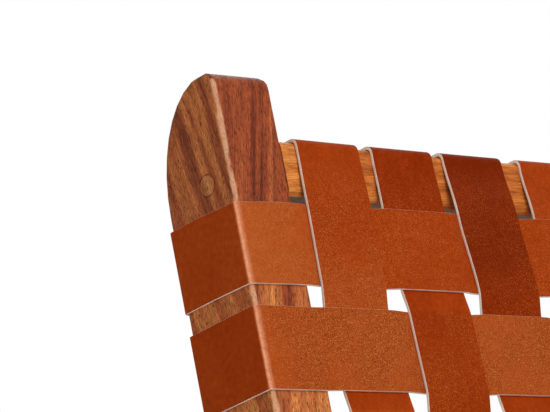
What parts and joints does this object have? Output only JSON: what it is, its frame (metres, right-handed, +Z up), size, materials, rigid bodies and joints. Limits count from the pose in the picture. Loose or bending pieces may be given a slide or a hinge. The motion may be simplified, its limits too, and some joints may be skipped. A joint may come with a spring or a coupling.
{
  "type": "lounge chair",
  "caption": "Low armless lounge chair: solid wood frame with leaning round-ended posts, and a back and seat of flat leather straps woven over and under.",
  "frame": {"origin": "on the floor under the middle of the chair's box", "axes": "+Z up, -Y the way the sitter faces, +X to the right of a viewer in front of the chair"},
  "size_m": [0.6032, 0.7644, 0.8049],
  "materials": {
    "post_wood": "oiled, satin, dark streaks",
    "rail_wood": "oiled, satin, honey brown",
    "plug_wood": "end grain, oiled",
    "leather": "satin cognac, raw pale edges",
    "steel": "plain zinc",
    "nylon": "matte"
  },
  "bodies": {
    "root": {"back_cross_strap_1": "leather", "back_cross_strap_2": "leather", "back_cross_strap_3": "leather", "back_cross_strap_4": "leather", "back_cross_strap_5": "leather", "back_cross_strap_6": "leather", "back_long_strap_1": "leather", "back_long_strap_2": "leather", "back_long_strap_3": "leather", "back_long_strap_4": "leather", "back_long_strap_5": "leather", "back_long_strap_6": "leather", "back_long_strap_7": "leather", "back_long_strap_8": "leather", "front_glide_left": "nylon", "front_glide_right": "nylon", "front_leg_left": "post_wood", "front_leg_right": "post_wood", "front_rail": "rail_wood", "front_rail_plug_left": "plug_wood", "front_rail_plug_right": "plug_wood", "front_rail_screw_left": "steel", "front_rail_screw_right": "steel", "lower_back_rail": "rail_wood", "lower_back_rail_plug_left": "plug_wood", "lower_back_rail_plug_right": "plug_wood", "lower_back_rail_screw_left": "steel", "lower_back_rail_screw_right": "steel", "rear_glide_left": "nylon", "rear_glide_right": "nylon", "rear_post_left": "post_wood", "rear_post_right": "post_wood", "rear_seat_rail": "rail_wood", "rear_seat_rail_plug_left": "plug_wood", "rear_seat_rail_plug_right": "plug_wood", "rear_seat_rail_screw_left": "steel", "rear_seat_rail_screw_right": "steel", "seat_cross_strap_1": "leather", "seat_cross_strap_2": "leather", "seat_cross_strap_3": "leather", "seat_cross_strap_4": "leather", "seat_cross_strap_5": "leather", "seat_cross_strap_6": "leather", "seat_cross_strap_7": "leather", "seat_long_strap_1": "leather", "seat_long_strap_2": "leather", "seat_long_strap_3": "leather", "seat_long_strap_4": "leather", "seat_long_strap_5": "leather", "seat_long_strap_6": "leather", "seat_long_strap_7": "leather", "seat_long_strap_8": "leather", "seat_rail_left": "post_wood", "seat_rail_right": "post_wood", "top_rail": "rail_wood", "top_rail_plug_left": "plug_wood", "top_rail_plug_right": "plug_wood", "top_rail_screw_left": "steel", "top_rail_screw_right": "steel"}
  },
  "joints": []
}
